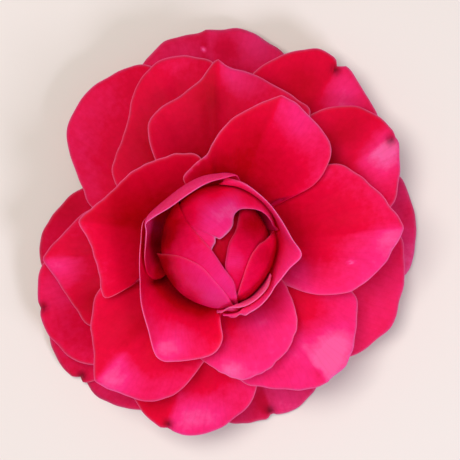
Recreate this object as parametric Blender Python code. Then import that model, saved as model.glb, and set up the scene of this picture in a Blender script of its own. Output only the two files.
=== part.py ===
import math

import bpy
import numpy as np

# Lengths are in millimetres and angles in degrees until toMetres turns a point to metres.
toMetres = 0.001

# The flower lies on its back with its axis along +Z. Azimuths turn anticlockwise from +X.
petalThickness = 0.4
petalGap = 0.3
scaleThickness = 0.7
petalColumns = 13
petalRows = 7
scaleColumns = 7
scaleRows = 5
finePerCell = 16
settleRounds = 9

# Where the petals leave the stalk's swollen top, and how far each one's foot spreads round it.
footRadius = 5.0
footHalfSpread = 42.0
lowestFoot = 7.4
footStep = 0.24

# The closed bud is a nest of shells round this centre.
budCentre = np.array([0.0, 0.0, 32.0])
budFootAngle = 152.0
budFootRadius = 6.4
budFootStep = 0.90
budFootShare = 0.8
bellyAngle = 96.0
bellyPull = 1.3

# Each ring's slope where a petal leaves the stalk and where it ends at the rim.
# The sides of a petal hang lower than its middle by its bow at the rim, and rise by its cup nearer
# the foot.
rings = {
    "outer": {"start": 0.52, "end": -0.42, "bow": 2.0, "cup": 0.0},
    "middle": {"start": 0.70, "end": -0.18, "bow": 1.8, "cup": 1.5},
    "inner": {"start": 1.00, "end": -0.05, "bow": 1.5, "cup": 2.2},
}

# Open petals from the lowest to the highest: ring, height of the tip, and the outline from one
# foot round the tip to the other as (azimuth, radius). A foot is the azimuths between which the petal
# leaves the stalk, where they aren't the usual spread round its middle.
openPetals = {
    "outer_petal_1": {"ring": "outer", "tip": 0.0,
                      "outline": [(292, 13), (303, 31), (311, 41), (320, 43), (332, 43.5), (343, 42),
                                  (351, 32), (362, 13)]},
    "outer_petal_2": {"ring": "outer", "tip": 0.0,
                      "outline": [(10, 13), (20, 32), (28, 45), (38, 48), (50, 48.5), (60, 46), (69, 33),
                                  (80, 13)]},
    "outer_petal_3": {"ring": "outer", "tip": 0.0,
                      "outline": [(96, 13), (106, 32), (114, 44), (124, 46.5), (136, 46), (147, 42),
                                  (156, 31), (168, 13)]},
    "outer_petal_4": {"ring": "outer", "tip": 0.4,
                      "outline": [(246, 14), (256, 30), (264, 42), (274, 45.2), (281, 45.4), (287, 45),
                                  (295, 45.4), (305, 42.5), (312, 34), (322, 15)]},
    "outer_petal_5": {"ring": "outer", "tip": 0.4,
                      "outline": [(198, 14), (208, 32), (217, 44), (225, 48.8), (233, 49.4), (241, 47.3),
                                  (249, 43.5), (256, 32), (268, 14)]},
    "outer_petal_6": {"ring": "outer", "tip": 2.2,
                      "outline": [(176, 14), (186, 32), (196, 43), (205, 48.5), (213, 50.3), (220, 50.6),
                                  (226, 48), (232, 37), (246, 14)]},
    "outer_petal_7": {"ring": "outer", "tip": 3.0,
                      "outline": [(328, 14), (338, 32), (344, 42), (351, 47.2), (360, 49), (368, 49.5),
                                  (377, 49), (384, 47), (391, 40), (398, 28), (408, 14)]},
    "outer_petal_8": {"ring": "outer", "tip": 4.0,
                      "outline": [(138, 14), (148, 29), (157, 37.5), (165, 41.3), (173, 44.5), (181, 46),
                                  (188, 45.3), (195, 41), (202, 30), (212, 14)]},
    "outer_petal_9": {"ring": "outer", "tip": 4.0,
                      "outline": [(52, 14), (58, 34), (64, 46), (72, 50.8), (79, 53.3), (86, 55),
                                  (94, 53.8), (103, 53.7), (110, 51.5), (118, 46), (124, 32), (132, 14)]},
    "middle_petal_1": {"ring": "middle", "tip": 10.5,
                      "outline": [(98, 14), (103, 34), (108, 45), (115, 49.8), (123, 50.7), (131, 51),
                                  (138, 49.8), (145, 47.2), (151, 42.3), (157, 37.5), (163, 34), (170, 24),
                                  (176, 13)]},
    "middle_petal_2": {"ring": "middle", "tip": 9.0,
                      "outline": [(168, 14), (174, 30), (180, 40), (186, 45), (193, 47.2), (200, 48.5),
                                  (207, 48.7), (214, 47.6), (220, 45.6), (226, 41), (234, 30), (244, 14)]},
    "middle_petal_3": {"ring": "middle", "tip": 10.0,
                      "outline": [(298, 13), (305, 28), (311, 38), (318, 42), (326, 44.6), (335, 47),
                                  (346, 46.6), (355, 46), (364, 44.5), (371, 39), (378, 28), (388, 13)]},
    "middle_petal_4": {"ring": "middle", "tip": 10.5,
                      "outline": [(20, 14), (26, 34), (33, 46), (40, 50.7), (47, 52.3), (53, 54),
                                  (57, 54.3), (62, 54.9), (67, 53.2), (73, 49.3), (80, 43), (88, 32),
                                  (96, 14)]},
    "middle_petal_5": {"ring": "middle", "tip": 15.5,
                      "outline": [(354, 13), (361, 27), (368, 37), (374, 43.9), (381, 47), (389, 50.2),
                                  (395, 50.8), (402, 49.7), (408, 46.5), (414, 41.4), (420, 33), (428, 22),
                                  (436, 12)]},
    "middle_petal_6": {"ring": "middle", "tip": 17.5,
                      "outline": [(76, 12), (82, 28), (87, 39), (92, 44.8), (98, 47.2), (105, 48.3),
                                  (112, 47.3), (119, 44), (126, 39), (133, 35.9), (140, 34), (147, 32),
                                  (155, 25), (162, 12)]},
    "middle_petal_7": {"ring": "middle", "tip": 15.5,
                      "outline": [(150, 12), (157, 26), (164, 33), (170, 36.5), (177, 40), (184, 43.7),
                                  (190, 42), (197, 40.2), (204, 39.2), (211, 38), (219, 32), (227, 22),
                                  (236, 12)]},
    "middle_petal_8": {"ring": "middle", "tip": 21.5,
                      "outline": [(50, 12), (52, 28), (56, 39), (63, 40.4), (71, 41.5), (80, 42.7),
                                  (88, 44), (92, 44.9), (97, 41), (105, 38.3), (114, 36.7), (122, 34),
                                  (129, 24), (134, 12)]},
    "inner_petal_1": {"ring": "inner", "tip": 14.0,
                      "outline": [(222, 12), (229, 28), (236, 40), (243, 44.9), (250, 46.9), (254, 47.2),
                                  (259, 47.6), (265, 46.9), (272, 44), (279, 40.5), (285, 35), (293, 24),
                                  (304, 12)]},
    "inner_petal_2": {"ring": "inner", "tip": 19.5,
                      "outline": [(262, 12), (270, 26), (279, 33.8), (287, 36.2), (295, 39), (303, 41.6),
                                  (310, 42), (317, 42.4), (324, 40.3), (332, 37.8), (340, 34.8), (348, 26),
                                  (358, 12)]},
    "inner_petal_3": {"ring": "inner", "tip": 23.0,
                      "outline": [(184, 12), (192, 25), (201, 32.5), (208, 35.8), (215, 38.6), (221, 41),
                                  (227, 44.6), (234, 43.8), (242, 42.6), (249, 40.2), (255, 35.8),
                                  (261, 29), (268, 22), (278, 12)]},
    "inner_petal_4": {"ring": "inner", "tip": 27.0,
                      "outline": [(316, 10), (328, 17.5), (333, 26), (341, 33.4), (350, 38), (358, 41.4),
                                  (366, 43.9), (374, 42), (382, 39.3), (390, 36.8), (397, 33.2), (404, 25),
                                  (412, 12)]},
    "inner_petal_5": {"ring": "inner", "tip": 28.5,
                      "outline": [(98, 11), (103, 22), (113, 24.4), (124, 25.9), (135, 27.4), (146, 28.8),
                                  (156, 30.2), (163, 32.3), (170, 34.6), (178, 31.8), (187, 30.7),
                                  (196, 30.4), (204, 30.8), (204, 25), (199, 19), (196, 11)]},
    "inner_petal_6": {"ring": "inner", "tip": 30.5, "foot": (54, 122),
                      "outline": [(53, 11), (48, 13.6), (41.5, 17.3), (34.5, 22.6), (34, 27), (37, 32),
                                  (42, 35.8), (49, 37), (57, 38.2), (64, 38.8), (69, 38.4), (76, 35),
                                  (84.5, 31.2), (90, 27.9), (95, 24.9), (99, 22.6), (108.5, 20.7),
                                  (118.5, 19.4), (120, 16.5), (121, 11)]},
    "inner_petal_7": {"ring": "inner", "tip": 27.0,
                      "outline": [(254, 11), (252, 20), (257, 26.5), (264, 28.9), (272, 31.3), (280, 32.9),
                                  (289, 32.2), (297, 31), (305, 29.3), (313, 27), (320, 23.5), (327, 19.4),
                                  (332, 16), (330, 10)]},
}

# Petals of the bud and of the cup round it, from the inside out: how far the belly stands off the
# bud's centre from one side to the other, the azimuths between which it lies, and the rim as
# (azimuth, radius, height above the centre). A shoulder is (angle from straight up, distance).
closedPetals = {
    "bud_petal_1": {"belly": [12.4], "sides": (50, 300),
                    "rim": [(52, 11.2, 0), (46, 9.4, 4.6), (24, 6.6, 7.6), (344, 6, 8), (312, 9, 5),
                            (303, 11, 0)]},
    "bud_petal_2": {"belly": [13.8], "sides": (272, 432),
                    "rim": [(284, 12.0, 0), (284.5, 10.8, 4.6), (283.5, 8, 8.2), (281.4, 5.1, 9.9),
                            (299, 2.6, 10.6), (26, 2.1, 10.4), (48, 4.9, 9.4), (60, 8.4, 7.4),
                            (68, 11, 3.4)]},
    "bud_petal_3": {"belly": [14.6, 14.8, 14.8], "sides": (284, 378),
                    "rim": [(286.4, 12.6, -1), (287, 12.5, 3.4), (293, 11, 6.3), (316, 7.9, 9.5),
                            (342, 7.4, 9.9), (354, 8.0, 9.5), (4, 9.2, 8.6), (8, 10.6, 7.2),
                            (13, 12.0, 4.6), (16, 12.8, 0)]},
    "bud_petal_4": {"belly": [15.2, 16.2, 17.4, 16.6, 15.8, 15.2], "sides": (14, 262),
                    "rim": [(16, 13.3, 0), (26, 13.4, 3.6), (36, 13.1, 5.2), (45, 12.3, 6.8),
                            (54, 11.1, 8.3), (62, 10.0, 9.4), (66.5, 8.6, 10.6), (66, 7.4, 11.2),
                            (61, 5.8, 11.8), (61, 4.4, 12.3), (70, 2.8, 12.6), (98, 2.0, 12.7),
                            (133, 1.6, 12.8), (177, 1.8, 12.6), (206, 2.4, 12.4), (238, 4.6, 11.6),
                            (262, 8.6, 9.6), (270, 12, 4)]},
    "bud_petal_5": {"belly": [16.0, 15.8, 15.8, 15.8], "sides": (132, 284),
                    "rim": [(132, 13.5, 0), (137, 12.3, 6.6), (143, 9.5, 10), (147, 7.1, 11.6),
                            (156, 4.8, 12.5), (205, 2.2, 13.1), (279, 5.2, 12.4), (290, 8.6, 10.6),
                            (288.5, 11.2, 8.2), (286, 13.4, 3)]},
    "bud_petal_6": {"belly": [16.0, 16.4, 16.6], "sides": (184, 284),
                    "rim": [(186, 13.6, 0), (188, 12.2, 7.2), (195, 9, 10.8), (226, 6.4, 12.4),
                            (265, 8.7, 11.2), (277, 11.4, 8.8), (282.5, 13.6, 4.4)]},
    "cup_petal_1": {"belly": [14.2, 13.4, 13.4], "sides": (266, 332), "shoulder": (66, 13.6),
                    "rim": [(267, 14.2, 1), (274, 14.4, 6), (281, 14.7, 8.4), (288, 15.1, 9.2),
                            (297, 15.2, 9.3), (308, 15.0, 9.1), (320, 14.7, 8), (330, 14.0, 4)]},
    "cup_petal_2": {"belly": [14.8, 13.2, 13.0, 13.8, 15.0, 15.4], "sides": (-90, 94),
                    "shoulder": (62, 13.8),
                    "rim": [(-86, 15.4, 0), (-76, 16.2, 6.5), (-71, 16.9, 8.8), (-66, 16.2, 9.2),
                            (-53, 15.8, 9.6), (-32, 16.0, 10), (-18, 17.0, 10.2), (-6, 19.2, 10.4),
                            (6, 17, 10.6), (24, 15.6, 10.8), (44, 15.3, 11), (68, 15.9, 10.4),
                            (86, 16.6, 7)]},
    "cup_petal_3": {"belly": [15.9, 15.8, 15.2, 14.8, 14.6], "sides": (72, 208),
                    "rim": [(66, 16.0, 3), (78, 15.9, 8.6), (90, 15.9, 11), (104, 15.2, 12.4),
                            (122, 14.5, 13), (142, 15.1, 12.8), (155, 17.0, 12.2), (163, 18.5, 11.6),
                            (169, 17.8, 10.8), (178, 17.5, 9.6), (190, 17.9, 7), (198, 18.0, 4),
                            (202, 17.8, 0.5), (205, 17.2, -3), (207, 16.4, -6.5)]},
    "cup_petal_4": {"belly": [16.2, 15.8, 15.4, 15.6], "sides": (158, 274),
                    "rim": [(156, 17.0, 1), (164, 18.4, 6.4), (176, 19.0, 7.4), (190, 19.6, 6.8),
                            (203, 20.8, 5.2), (216, 23.2, 3.4), (229, 26, 1.8), (240, 29.8, 0.6),
                            (249, 28.8, 0), (260, 27, 0), (267, 25.4, -0.4), (271, 22.4, -0.6),
                            (270, 19, -1.2), (268, 14, -3)]},
}

# Bracts and sepals under the petals: middle azimuth, half width, tip radius and tip height.
bracts = [(20, 42, 8.4, 5.6), (140, 42, 8.0, 5.6), (262, 42, 8.6, 5.7)]
sepals = [(-15, 40, 12.4, 7.6), (57, 40, 13.2, 7.8), (129, 40, 12.6, 7.7), (201, 40, 13.4, 7.9),
          (273, 40, 12.8, 7.8)]
scaleRing = {"start": 0.35, "end": 0.30, "bow": 0.0, "cup": 0.0}
bractFoot = 4.6
sepalFoot = 5.4
scaleHalfSpread = 30.0

# The stalk's turned outline, from the petals down to the cut end: (radius, height).
stalkProfile = [(0, 27.2), (0.9, 26.9), (1.7, 25.8), (2.4, 23.6), (3.1, 20.6), (3.8, 17.6), (4.1, 14.6),
                (4.1, 8), (4.0, 5), (3.5, 3.8), (2.5, 3.0), (2.1, 2.0), (2.0, 0.3), (1.8, 0), (0, 0)]
stalkSides = 24

# The raster on which each petal is laid over those below it.
cellSize = 0.5
rasterHalf = 62.0
sphereCell = 1.5
sphereHalf = 180.0

colours = {
    "outer": ((0.46, 0.010, 0.040), 0.55),
    "middle": ((0.55, 0.009, 0.045), 0.52),
    "inner": ((0.62, 0.008, 0.055), 0.50),
    "cup": ((0.68, 0.008, 0.070), 0.48),
    "bud": ((0.66, 0.008, 0.075), 0.48),
    "sepal": ((0.150, 0.190, 0.045), 0.60),
    "stalk": ((0.140, 0.180, 0.050), 0.65),
}


def clearScene():
    for item in list(bpy.data.objects):
        bpy.data.objects.remove(item, do_unlink=True)


def finish(name, key):
    material = bpy.data.materials.new(name)
    material.use_nodes = True
    colour, roughness = colours[key]
    shader = material.node_tree.nodes["Principled BSDF"]
    shader.inputs["Base Color"].default_value = (*colour, 1)
    shader.inputs["Roughness"].default_value = roughness
    shader.inputs["Metallic"].default_value = 0
    return material


def around(azimuth, radius):
    turn = np.radians(azimuth)
    return np.stack([np.cos(turn), np.sin(turn)], axis=-1) * np.asarray(radius)[..., None]


# A smooth curve through the points, at evenly spaced lengths along it.
def smoothCurve(points, count):
    points = np.asarray(points, float)
    ends = np.vstack([2 * points[0] - points[1], points, 2 * points[-1] - points[-2]])
    t = np.linspace(0, 1, 24, endpoint=False)[:, None]
    pieces = []
    for a, b, c, d in zip(ends, ends[1:], ends[2:], ends[3:]):
        pieces.append(0.5 * (2 * b + (c - a) * t + (2 * a - 5 * b + 4 * c - d) * t**2
                             + (3 * b - a - 3 * c + d) * t**3))
    path = np.vstack([*pieces, points[-1:]])
    steps = np.linalg.norm(np.diff(path, axis=0), axis=1)
    along = np.concatenate([[0], np.cumsum(steps)])
    wanted = np.linspace(0, along[-1], count)
    return np.stack([np.interp(wanted, along, path[:, k]) for k in range(path.shape[1])], axis=1)


# A cubic from one height and slope to another.
def rise(t, start, startSlope, end, endSlope):
    return ((2 * t**3 - 3 * t**2 + 1) * start + (t**3 - 2 * t**2 + t) * startSlope
            + (3 * t**2 - 2 * t**3) * end + (t**3 - t**2) * endSlope)


# Rays fan out from the foot's arc to the outline; the height follows the ray's radius.
def openGrid(outline, foot, tip, ring, columns, rows, footRange=None):
    azimuths = [azimuth for azimuth, radius in outline]
    middle = 0.5 * (azimuths[0] + azimuths[-1])
    rim = smoothCurve([around(azimuth, radius) for azimuth, radius in outline], columns)
    side = np.linspace(-1, 1, columns)
    ends = footRange or (middle - footHalfSpread, middle + footHalfSpread)
    root = around(np.linspace(*ends, columns), np.full(columns, footRadius))
    out = np.linspace(0, 1, rows)[:, None, None]
    plan = root + (rim - root) * out
    radius = np.linalg.norm(plan, axis=2)
    reach = radius.max() - footRadius
    t = np.clip((radius - footRadius) / reach, 0, 1)
    height = rise(t, foot, ring["start"] * reach, tip, ring["end"] * reach)
    height += side**2 * (4 * ring["cup"] * t * (1 - t) - ring["bow"] * t)
    return np.dstack([plan, height])


# Unit directions at these azimuths, at one angle from straight up.
def headings(azimuth, angle):
    tilt = np.full(len(azimuth), math.radians(angle))
    return np.column_stack([around(azimuth, np.sin(tilt)), np.cos(tilt)])


# Each ray bends over the bud from its foot under it, past the belly and the shoulder, to the rim: a
# Bezier curve of directions times one of distances.
def closedGrid(petal, level, columns, rows):
    azimuth, radius, height = np.array(petal["rim"], float).T
    edge = smoothCurve(np.column_stack([around(azimuth, radius), height]), columns)
    across = np.linspace(*petal["sides"], columns)
    belly = np.interp(np.linspace(0, 1, columns), np.linspace(0, 1, len(petal["belly"])), petal["belly"])
    middle = 0.5 * sum(petal["sides"])
    foot = headings(middle + (across - middle) * budFootShare, budFootAngle)
    rimReach = np.linalg.norm(edge, axis=1)
    parts = [(foot, budFootRadius + budFootStep * level), (bellyPull * headings(across, bellyAngle), belly),
             (edge / rimReach[:, None], rimReach)]
    if "shoulder" in petal:
        angle, distance = petal["shoulder"]
        parts.insert(2, (headings(across, angle), distance))
    t = np.linspace(0, 1, rows)[:, None]
    last = len(parts) - 1
    heading, reach = 0, 0
    for k, (direction, distance) in enumerate(parts):
        share = math.comb(last, k) * t**k * (1 - t)**(last - k)
        heading = heading + share[..., None] * direction
        reach = reach + share * distance
    heading /= np.linalg.norm(heading, axis=2, keepdims=True)
    return heading * reach[..., None] + budCentre


def planarView(points):
    up = np.zeros_like(points)
    up[..., 2] = 1
    return points[..., 0] / cellSize, points[..., 1] / cellSize, points[..., 2], up


# Angle from straight up, laid out flat round the top, with the distance from the centre as height.
def sphereView(points):
    offset = points - budCentre
    reach = np.linalg.norm(offset, axis=-1)
    angle = np.degrees(np.arccos(np.clip(offset[..., 2] / reach, -1, 1))) / sphereCell
    turn = np.arctan2(offset[..., 1], offset[..., 0])
    return angle * np.cos(turn), angle * np.sin(turn), reach, offset / reach[..., None]


def gridNormals(grid):
    normal = np.cross(np.gradient(grid, axis=0), np.gradient(grid, axis=1))
    return normal / np.maximum(np.linalg.norm(normal, axis=2, keepdims=True), 1e-9)


def refine(grid, count):
    rows, columns = grid.shape[:2]
    r = np.linspace(0, rows - 1, (rows - 1) * count + 1)
    c = np.linspace(0, columns - 1, (columns - 1) * count + 1)
    r0 = np.minimum(r.astype(int), rows - 2)
    c0 = np.minimum(c.astype(int), columns - 2)
    fr = (r - r0)[:, None, None]
    fc = (c - c0)[None, :, None]
    upper = grid[r0][:, c0] * (1 - fc) + grid[r0][:, c0 + 1] * fc
    lower = grid[r0 + 1][:, c0] * (1 - fc) + grid[r0 + 1][:, c0 + 1] * fc
    return upper * (1 - fr) + lower * fr


# The highest surface so far over each cell of the view.
class Pile:
    def __init__(self, view, half):
        self.view = view
        self.middle = int(half) + 2
        self.top = np.full((2 * self.middle + 1,) * 2, -1e3)

    def cells(self, points):
        u, v, height, up = self.view(points)
        i = np.clip(np.round(u).astype(int) + self.middle, 1, 2 * self.middle - 1)
        j = np.clip(np.round(v).astype(int) + self.middle, 1, 2 * self.middle - 1)
        lean = 1 / np.clip(np.abs((gridNormals(points) * up).sum(-1)), 0.4, 1)
        return i, j, height, lean

    def add(self, grid, thickness):
        i, j, height, lean = self.cells(refine(grid, finePerCell))
        for di in (-1, 0, 1):
            for dj in (-1, 0, 1):
                np.maximum.at(self.top, (i + di, j + dj), height + 0.5 * thickness * lean)

    def shortfall(self, grid, thickness):
        i, j, height, lean = self.cells(refine(grid, finePerCell))
        need = self.top[i, j] + (0.5 * thickness + petalGap) * lean - height
        rows, columns = grid.shape[:2]
        most = np.zeros((rows + 1, columns + 1))
        for r in range(rows - 1):
            for c in range(columns - 1):
                block = need[r * finePerCell:(r + 1) * finePerCell + 1,
                             c * finePerCell:(c + 1) * finePerCell + 1]
                most[r + 1, c + 1] = max(0, block.max())
        return np.maximum.reduce([most[:-1, :-1], most[1:, :-1], most[:-1, 1:], most[1:, 1:]])


def blurred(values):
    padded = np.pad(values, 1, mode="edge")
    values = (padded[:-2] + 2 * padded[1:-1] + padded[2:]) / 4
    return (values[:, :-2] + 2 * values[:, 1:-1] + values[:, 2:]) / 4


# Raises the grid clear of the pile: softly at first, then by whatever is still missing.
def settle(grid, pile, thickness):
    for last in (False, False, False, True, True):
        lift = pile.shortfall(grid, thickness)
        if not last:
            lift = blurred(lift)
        grid = grid + pile.view(grid)[3] * lift[..., None]
    return grid


def scaleOutline(azimuth, halfWidth, tip):
    share = [(-1, 0.50), (-0.94, 0.72), (-0.55, 0.93), (0, 1), (0.55, 0.93), (0.94, 0.72), (1, 0.50)]
    return [(azimuth + halfWidth * across, tip * out) for across, out in share]


def petalSheets():
    pile = Pile(planarView, rasterHalf / cellSize)
    sheets = {}

    def lay(name, grid, thickness):
        grid = settle(grid, pile, thickness)
        grid[..., 2] = np.maximum(grid[..., 2], 0.5 * thickness + 0.02)
        pile.add(grid, thickness)
        sheets[name] = (grid, thickness)

    for group, table, foot in (("bract", bracts, bractFoot), ("sepal", sepals, sepalFoot)):
        for number, (azimuth, halfWidth, tip, height) in enumerate(table, 1):
            outline = scaleOutline(azimuth, halfWidth, tip)
            ends = (azimuth - scaleHalfSpread, azimuth + scaleHalfSpread)
            lay(f"{group}_{number}", openGrid(outline, foot, height, scaleRing, scaleColumns, scaleRows, ends),
                scaleThickness)
    for level, (name, petal) in enumerate(openPetals.items()):
        grid = openGrid(petal["outline"], lowestFoot + footStep * level, petal["tip"], rings[petal["ring"]],
                        petalColumns, petalRows, petal.get("foot"))
        lay(name, grid, petalThickness)
    return sheets, pile


def budSheets(openPile):
    pile = Pile(sphereView, sphereHalf / sphereCell)
    sheets = {}
    for level, (name, petal) in enumerate(closedPetals.items()):
        grid = closedGrid(petal, level, petalColumns, petalRows)
        for _ in range(settleRounds):
            grid = settle(grid, openPile, petalThickness)
            grid = settle(grid, pile, petalThickness)
        pile.add(grid, petalThickness)
        sheets[name] = (grid, petalThickness)
    return sheets


def buildSheet(name, grid, thickness, shift, key):
    rows, columns = grid.shape[:2]
    points = (grid.reshape(-1, 3) + shift) * toMetres
    index = np.arange(rows * columns).reshape(rows, columns)
    faces = np.stack([index[:-1, :-1], index[1:, :-1], index[1:, 1:], index[:-1, 1:]], axis=-1)
    mesh = bpy.data.meshes.new(name)
    mesh.from_pydata(points.tolist(), [], faces.reshape(-1, 4).tolist())
    mesh.materials.append(finish(name, key))
    mesh.shade_smooth()
    item = bpy.data.objects.new(name, mesh)
    bpy.context.scene.collection.objects.link(item)
    solid = item.modifiers.new("Thickness", "SOLIDIFY")
    solid.thickness = thickness * toMetres
    solid.offset = 0
    return item


def buildStalk(shift):
    mesh = bpy.data.meshes.new("stalk")
    points = [(radius * toMetres, 0, height * toMetres) for radius, height in stalkProfile]
    mesh.from_pydata(points, [(k, k + 1) for k in range(len(points) - 1)], [])
    mesh.materials.append(finish("stalk", "stalk"))
    item = bpy.data.objects.new("stalk", mesh)
    item.location = np.asarray(shift) * toMetres
    bpy.context.scene.collection.objects.link(item)
    turned = item.modifiers.new("Turned", "SCREW")
    turned.steps = stalkSides
    turned.render_steps = stalkSides
    turned.use_merge_vertices = True
    turned.merge_threshold = 0.00005
    return item


def main():
    clearScene()
    sheets, pile = petalSheets()
    sheets.update(budSheets(pile))
    everything = np.vstack([(grid + 0.5 * side * thickness * gridNormals(grid)).reshape(-1, 3)
                            for grid, thickness in sheets.values() for side in (-1, 1)])
    lowest, highest = everything.min(axis=0), everything.max(axis=0)
    shift = np.array([*(-0.5 * (lowest + highest)[:2]), 0])
    for name, (grid, thickness) in sheets.items():
        ring = name.split("_")[0]
        buildSheet(name, grid, thickness, shift, "sepal" if ring in ("sepal", "bract") else ring)
    buildStalk(shift)


main()
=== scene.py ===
import math

import bpy
import numpy as np
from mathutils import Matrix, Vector


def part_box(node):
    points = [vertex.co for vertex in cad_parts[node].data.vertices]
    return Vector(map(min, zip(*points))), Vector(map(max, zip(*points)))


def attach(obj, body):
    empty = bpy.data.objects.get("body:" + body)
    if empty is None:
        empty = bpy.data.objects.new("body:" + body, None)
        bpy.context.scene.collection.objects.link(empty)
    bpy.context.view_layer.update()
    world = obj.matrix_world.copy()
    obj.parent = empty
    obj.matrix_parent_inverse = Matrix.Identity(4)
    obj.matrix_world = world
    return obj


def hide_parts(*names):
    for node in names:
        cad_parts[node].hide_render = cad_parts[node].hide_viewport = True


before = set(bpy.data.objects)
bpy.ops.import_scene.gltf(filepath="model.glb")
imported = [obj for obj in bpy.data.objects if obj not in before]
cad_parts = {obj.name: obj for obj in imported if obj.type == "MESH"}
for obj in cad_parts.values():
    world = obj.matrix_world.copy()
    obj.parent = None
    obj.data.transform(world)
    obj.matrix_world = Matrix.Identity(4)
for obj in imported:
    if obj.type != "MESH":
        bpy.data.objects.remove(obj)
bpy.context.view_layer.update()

mm = 0.001
stalkLow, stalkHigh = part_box("stalk")
axisPlace = 0.5 * (np.array(stalkLow) + np.array(stalkHigh)) * (1, 1, 0) / mm

random = np.random.default_rng(7)

# Petal shapes are worked out in millimetres and degrees round the flower's axis.
sheet = {
    "thickness": 0.30,  # at the middle of a petal
    "rimThickness": 0.08,
    "rimWidth": 0.9,  # how far in from the rim a petal thins
    "gap": 0.22,  # left between a petal and those under it
    "columns": 121,
    "rows": 43,
}


# Points at these azimuths and radii.
def around(azimuth, radius):
    turn = np.radians(azimuth)
    return np.stack([np.cos(turn), np.sin(turn)], axis=-1) * np.asarray(radius)[..., None]


# A short list of values spread evenly over a petal, from one side (-1) to the other (1).
def acrossPetal(values, side):
    values = np.atleast_1d(values)
    return np.interp(side, np.linspace(-1, 1, len(values)), values)


# Catmull-Rom curve through the points, read at evenly spaced lengths along it.
def smoothCurve(points, count):
    ends = np.vstack([2 * points[0] - points[1], points, 2 * points[-1] - points[-2]])
    t = np.linspace(0, 1, 32, endpoint=False)[:, None]
    pieces = []
    for a, b, c, d in zip(ends, ends[1:], ends[2:], ends[3:]):
        pieces.append(0.5 * (2 * b + (c - a) * t + (2 * a - 5 * b + 4 * c - d) * t**2
                             + (3 * b - a - 3 * c + d) * t**3))
    path = np.vstack([*pieces, points[-1:]])
    along = np.concatenate([[0], np.cumsum(np.linalg.norm(np.diff(path, axis=0), axis=1))])
    wanted = np.linspace(0, along[-1], count)
    return np.stack([np.interp(wanted, along, path[:, k]) for k in range(path.shape[1])], axis=1)


# Cubic from one height and slope to another.
def rise(t, start, startSlope, end, endSlope):
    return ((2 * t**3 - 3 * t**2 + 1) * start + (t**3 - 2 * t**2 + t) * startSlope
            + (3 * t**2 - 2 * t**3) * end + (t**3 - t**2) * endSlope)


def unit(vectors):
    return vectors / np.maximum(np.linalg.norm(vectors, axis=-1, keepdims=True), 1e-9)


# Distance in from the outline: what is left of the ray, times how squarely it meets the outline, which
# is kept over 0.15 so that a ray along the side still has a distance.
def rimDistance(grid):
    left = np.linalg.norm(grid[-1] - grid, axis=2)
    ray = unit(grid[-1] - grid[-2])
    edge = unit(np.gradient(grid[-1], axis=0))
    return left * np.clip(np.linalg.norm(np.cross(ray, edge), axis=1), 0.15, 1)


crease = {"steepReach": 4.0, "gentleReach": 9.0, "rounding": 0.3, "sink": 0.25}


# A crease is highest on its line and falls off exponentially, steeply on one side (lower azimuths for a
# negative lift) and gently on the other. Far from it the petal sinks by a share of the lift.
def foldLift(grid, apart, lift):
    halfWidth = 0.5 * np.linalg.norm(grid[:, -1] - grid[:, 0], axis=1)[:, None]
    away = apart * halfWidth * np.sign(lift)
    reach = np.where(away > 0, crease["steepReach"], crease["gentleReach"])
    return abs(lift) * (np.exp(-np.sqrt(away**2 + crease["rounding"]**2) / reach) - crease["sink"])


# A few waves of random length and phase along the outline, between -1 and 1.
def ripple(count, waves):
    x = np.linspace(0, 1, count)
    total = sum(random.uniform(0.5, 1) / k * np.sin(2 * np.pi * (k * x * random.uniform(0.8, 1.2)
                                                                 + random.uniform()))
                for k in waves)
    return total / np.abs(total).max()


# How open petals leave the stalk: the foot's distance from the axis, its half spread, the height of the
# lowest and the step from one petal to the next.
foot = {"radius": 5.0, "halfSpread": 42.0, "lowest": 7.4, "step": 0.24}

# Slope where a petal leaves the stalk and where it ends, how far its sides hang at the rim (bow),
# how far they rise nearer the foot (cup), how far the margin curls down, how much it waves, and how
# deep the blade is pleated like a fan.
rings = {
    "outer": {"start": 0.52, "end": -0.42, "bow": 2, "cup": 0, "curl": 0.15, "wave": 0.5, "fan": 0.22},
    "middle": {"start": 0.7, "end": -0.18, "bow": 1.8, "cup": 1.5, "curl": 0.1, "wave": 0.45, "fan": 0.22},
    "inner": {"start": 1, "end": -0.05, "bow": 1.5, "cup": 2.2, "curl": 0.1, "wave": 0.35, "fan": 0.2},
    "scale": {"start": 0.35, "end": 0.3, "bow": 0, "cup": 0, "curl": -0.2, "wave": 0.1, "fan": 0.05},
}

# The outline's corner at a fold, its nicks and its small ripples, and how far in the margin waves and
# curls.
outlineEdge = {
    "corner": 0.7,
    "cornerWidth": 1.6,
    "nickWidth": 0.9,
    "ripple": 0.22,
    "waveWidth": 7.0,
    "curlWidth": 2.2,
}

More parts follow.
